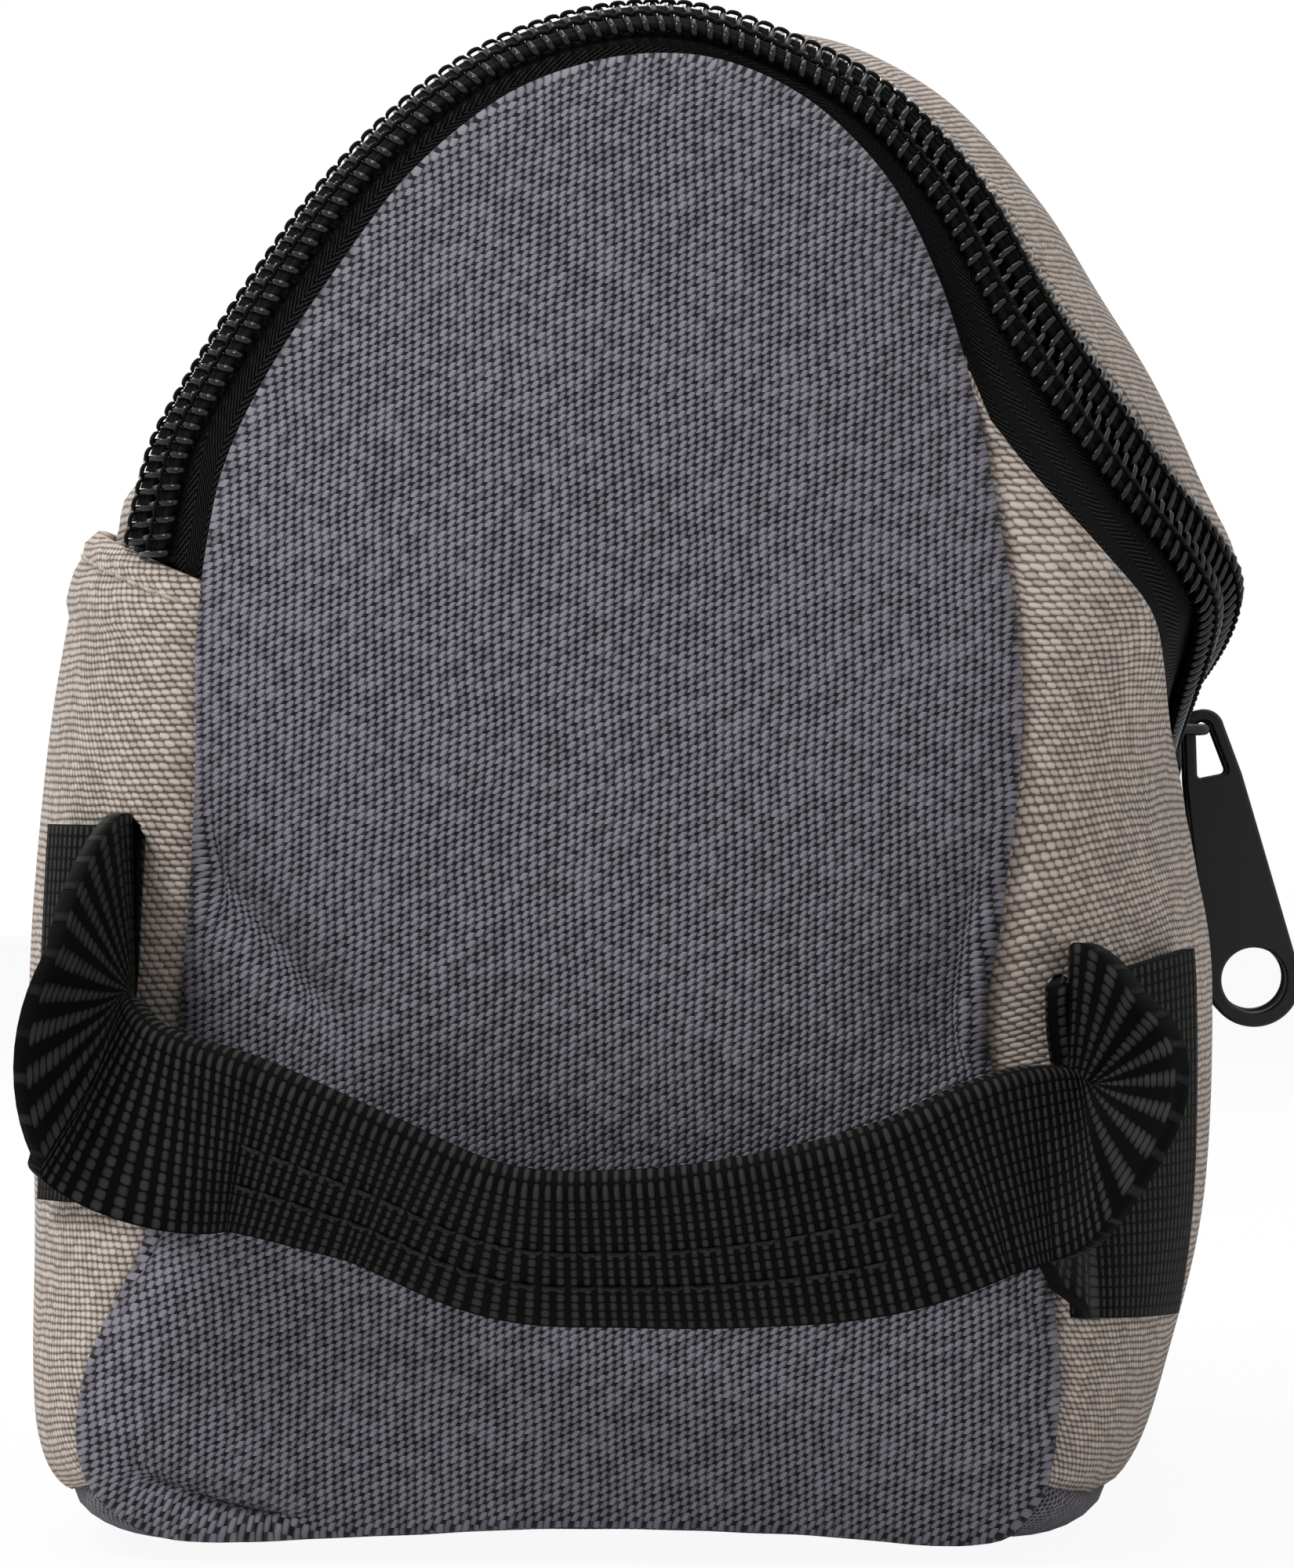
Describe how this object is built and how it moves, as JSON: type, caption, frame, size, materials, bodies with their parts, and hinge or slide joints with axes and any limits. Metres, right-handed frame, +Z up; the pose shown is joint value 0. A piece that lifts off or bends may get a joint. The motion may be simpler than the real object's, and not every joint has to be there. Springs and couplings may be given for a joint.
{
  "type": "toiletry bag",
  "caption": "Arched soft toiletry bag of woven canvas: a lid zipped along the front and over the ends, hinged at the back, slider pull tabs and a folded webbing handle on one end.",
  "frame": {"origin": "on the resting plane under the flat base, at mid length", "axes": "+Z up, +Y along the bag's length away from the handle end, +X to the front, where the zip sliders are; the lid turns at the back, -X"},
  "size_m": [0.139, 0.2701, 0.1569],
  "materials": {
    "beige_canvas": "matt beige plain-weave canvas",
    "grey_canvas": "matt grey plain-weave canvas",
    "zip_tape": "black twill tape",
    "zip_coil": "glossy black coil",
    "black_metal": "satin black",
    "webbing": "black ribbed webbing",
    "lining": "smooth dark grey lining",
    "binding": "black seam tape"
  },
  "bodies": {
    "body": {"front_panel": "beige_canvas", "back_panel": "beige_canvas", "bottom_panel": "grey_canvas", "end_panel_near": "grey_canvas", "end_panel_far": "grey_canvas", "zipper_tape_body": "zip_tape", "zipper_coil_body": "zip_coil", "body_lining": "lining", "end_lining_near": "lining", "end_lining_far": "lining", "seam_binding_near": "binding", "seam_binding_far": "binding", "handle_left_anchor": "webbing", "handle_right_anchor": "webbing"},
    "lid": {"lid_panel": "beige_canvas", "zipper_tape_lid": "zip_tape", "zipper_coil_lid": "zip_coil", "lid_lining": "lining"},
    "slider_near": {"slider_near": "black_metal"},
    "slider_far": {"slider_far": "black_metal"},
    "puller_near": {"puller_near": "black_metal"},
    "puller_far": {"puller_far": "black_metal"},
    "handle": {"handle_grip": "webbing"}
  },
  "joints": [
    {"name": "lid_hinge", "type": "hinge", "parent": "body", "child": "lid", "pos_m": [-0.0585, 0, 0.1015], "axis": [0, -1, 0], "range_deg": [0, 110]},
    {"name": "slider_near_slide", "type": "slide", "parent": "body", "child": "slider_near", "axis": [0, -1, 0], "range_m": [0, 0.025]},
    {"name": "slider_far_slide", "type": "slide", "parent": "body", "child": "slider_far", "axis": [0, 1, 0], "range_m": [0, 0.025]},
    {"name": "puller_near_swing", "type": "hinge", "parent": "slider_near", "child": "puller_near", "pos_m": [0.06022, -0.008, 0.08292], "axis": [0, -1, 0], "range_deg": [0, 120]},
    {"name": "puller_far_swing", "type": "hinge", "parent": "slider_far", "child": "puller_far", "pos_m": [0.06022, 0.008, 0.08292], "axis": [0, -1, 0], "range_deg": [0, 120]},
    {"name": "handle_swing", "type": "hinge", "parent": "body", "child": "handle", "pos_m": [-0.04643, -0.1364, 0.05541], "axis": [-0.9963, 0.0083, 0.0858], "range_deg": [0, 100]}
  ]
}
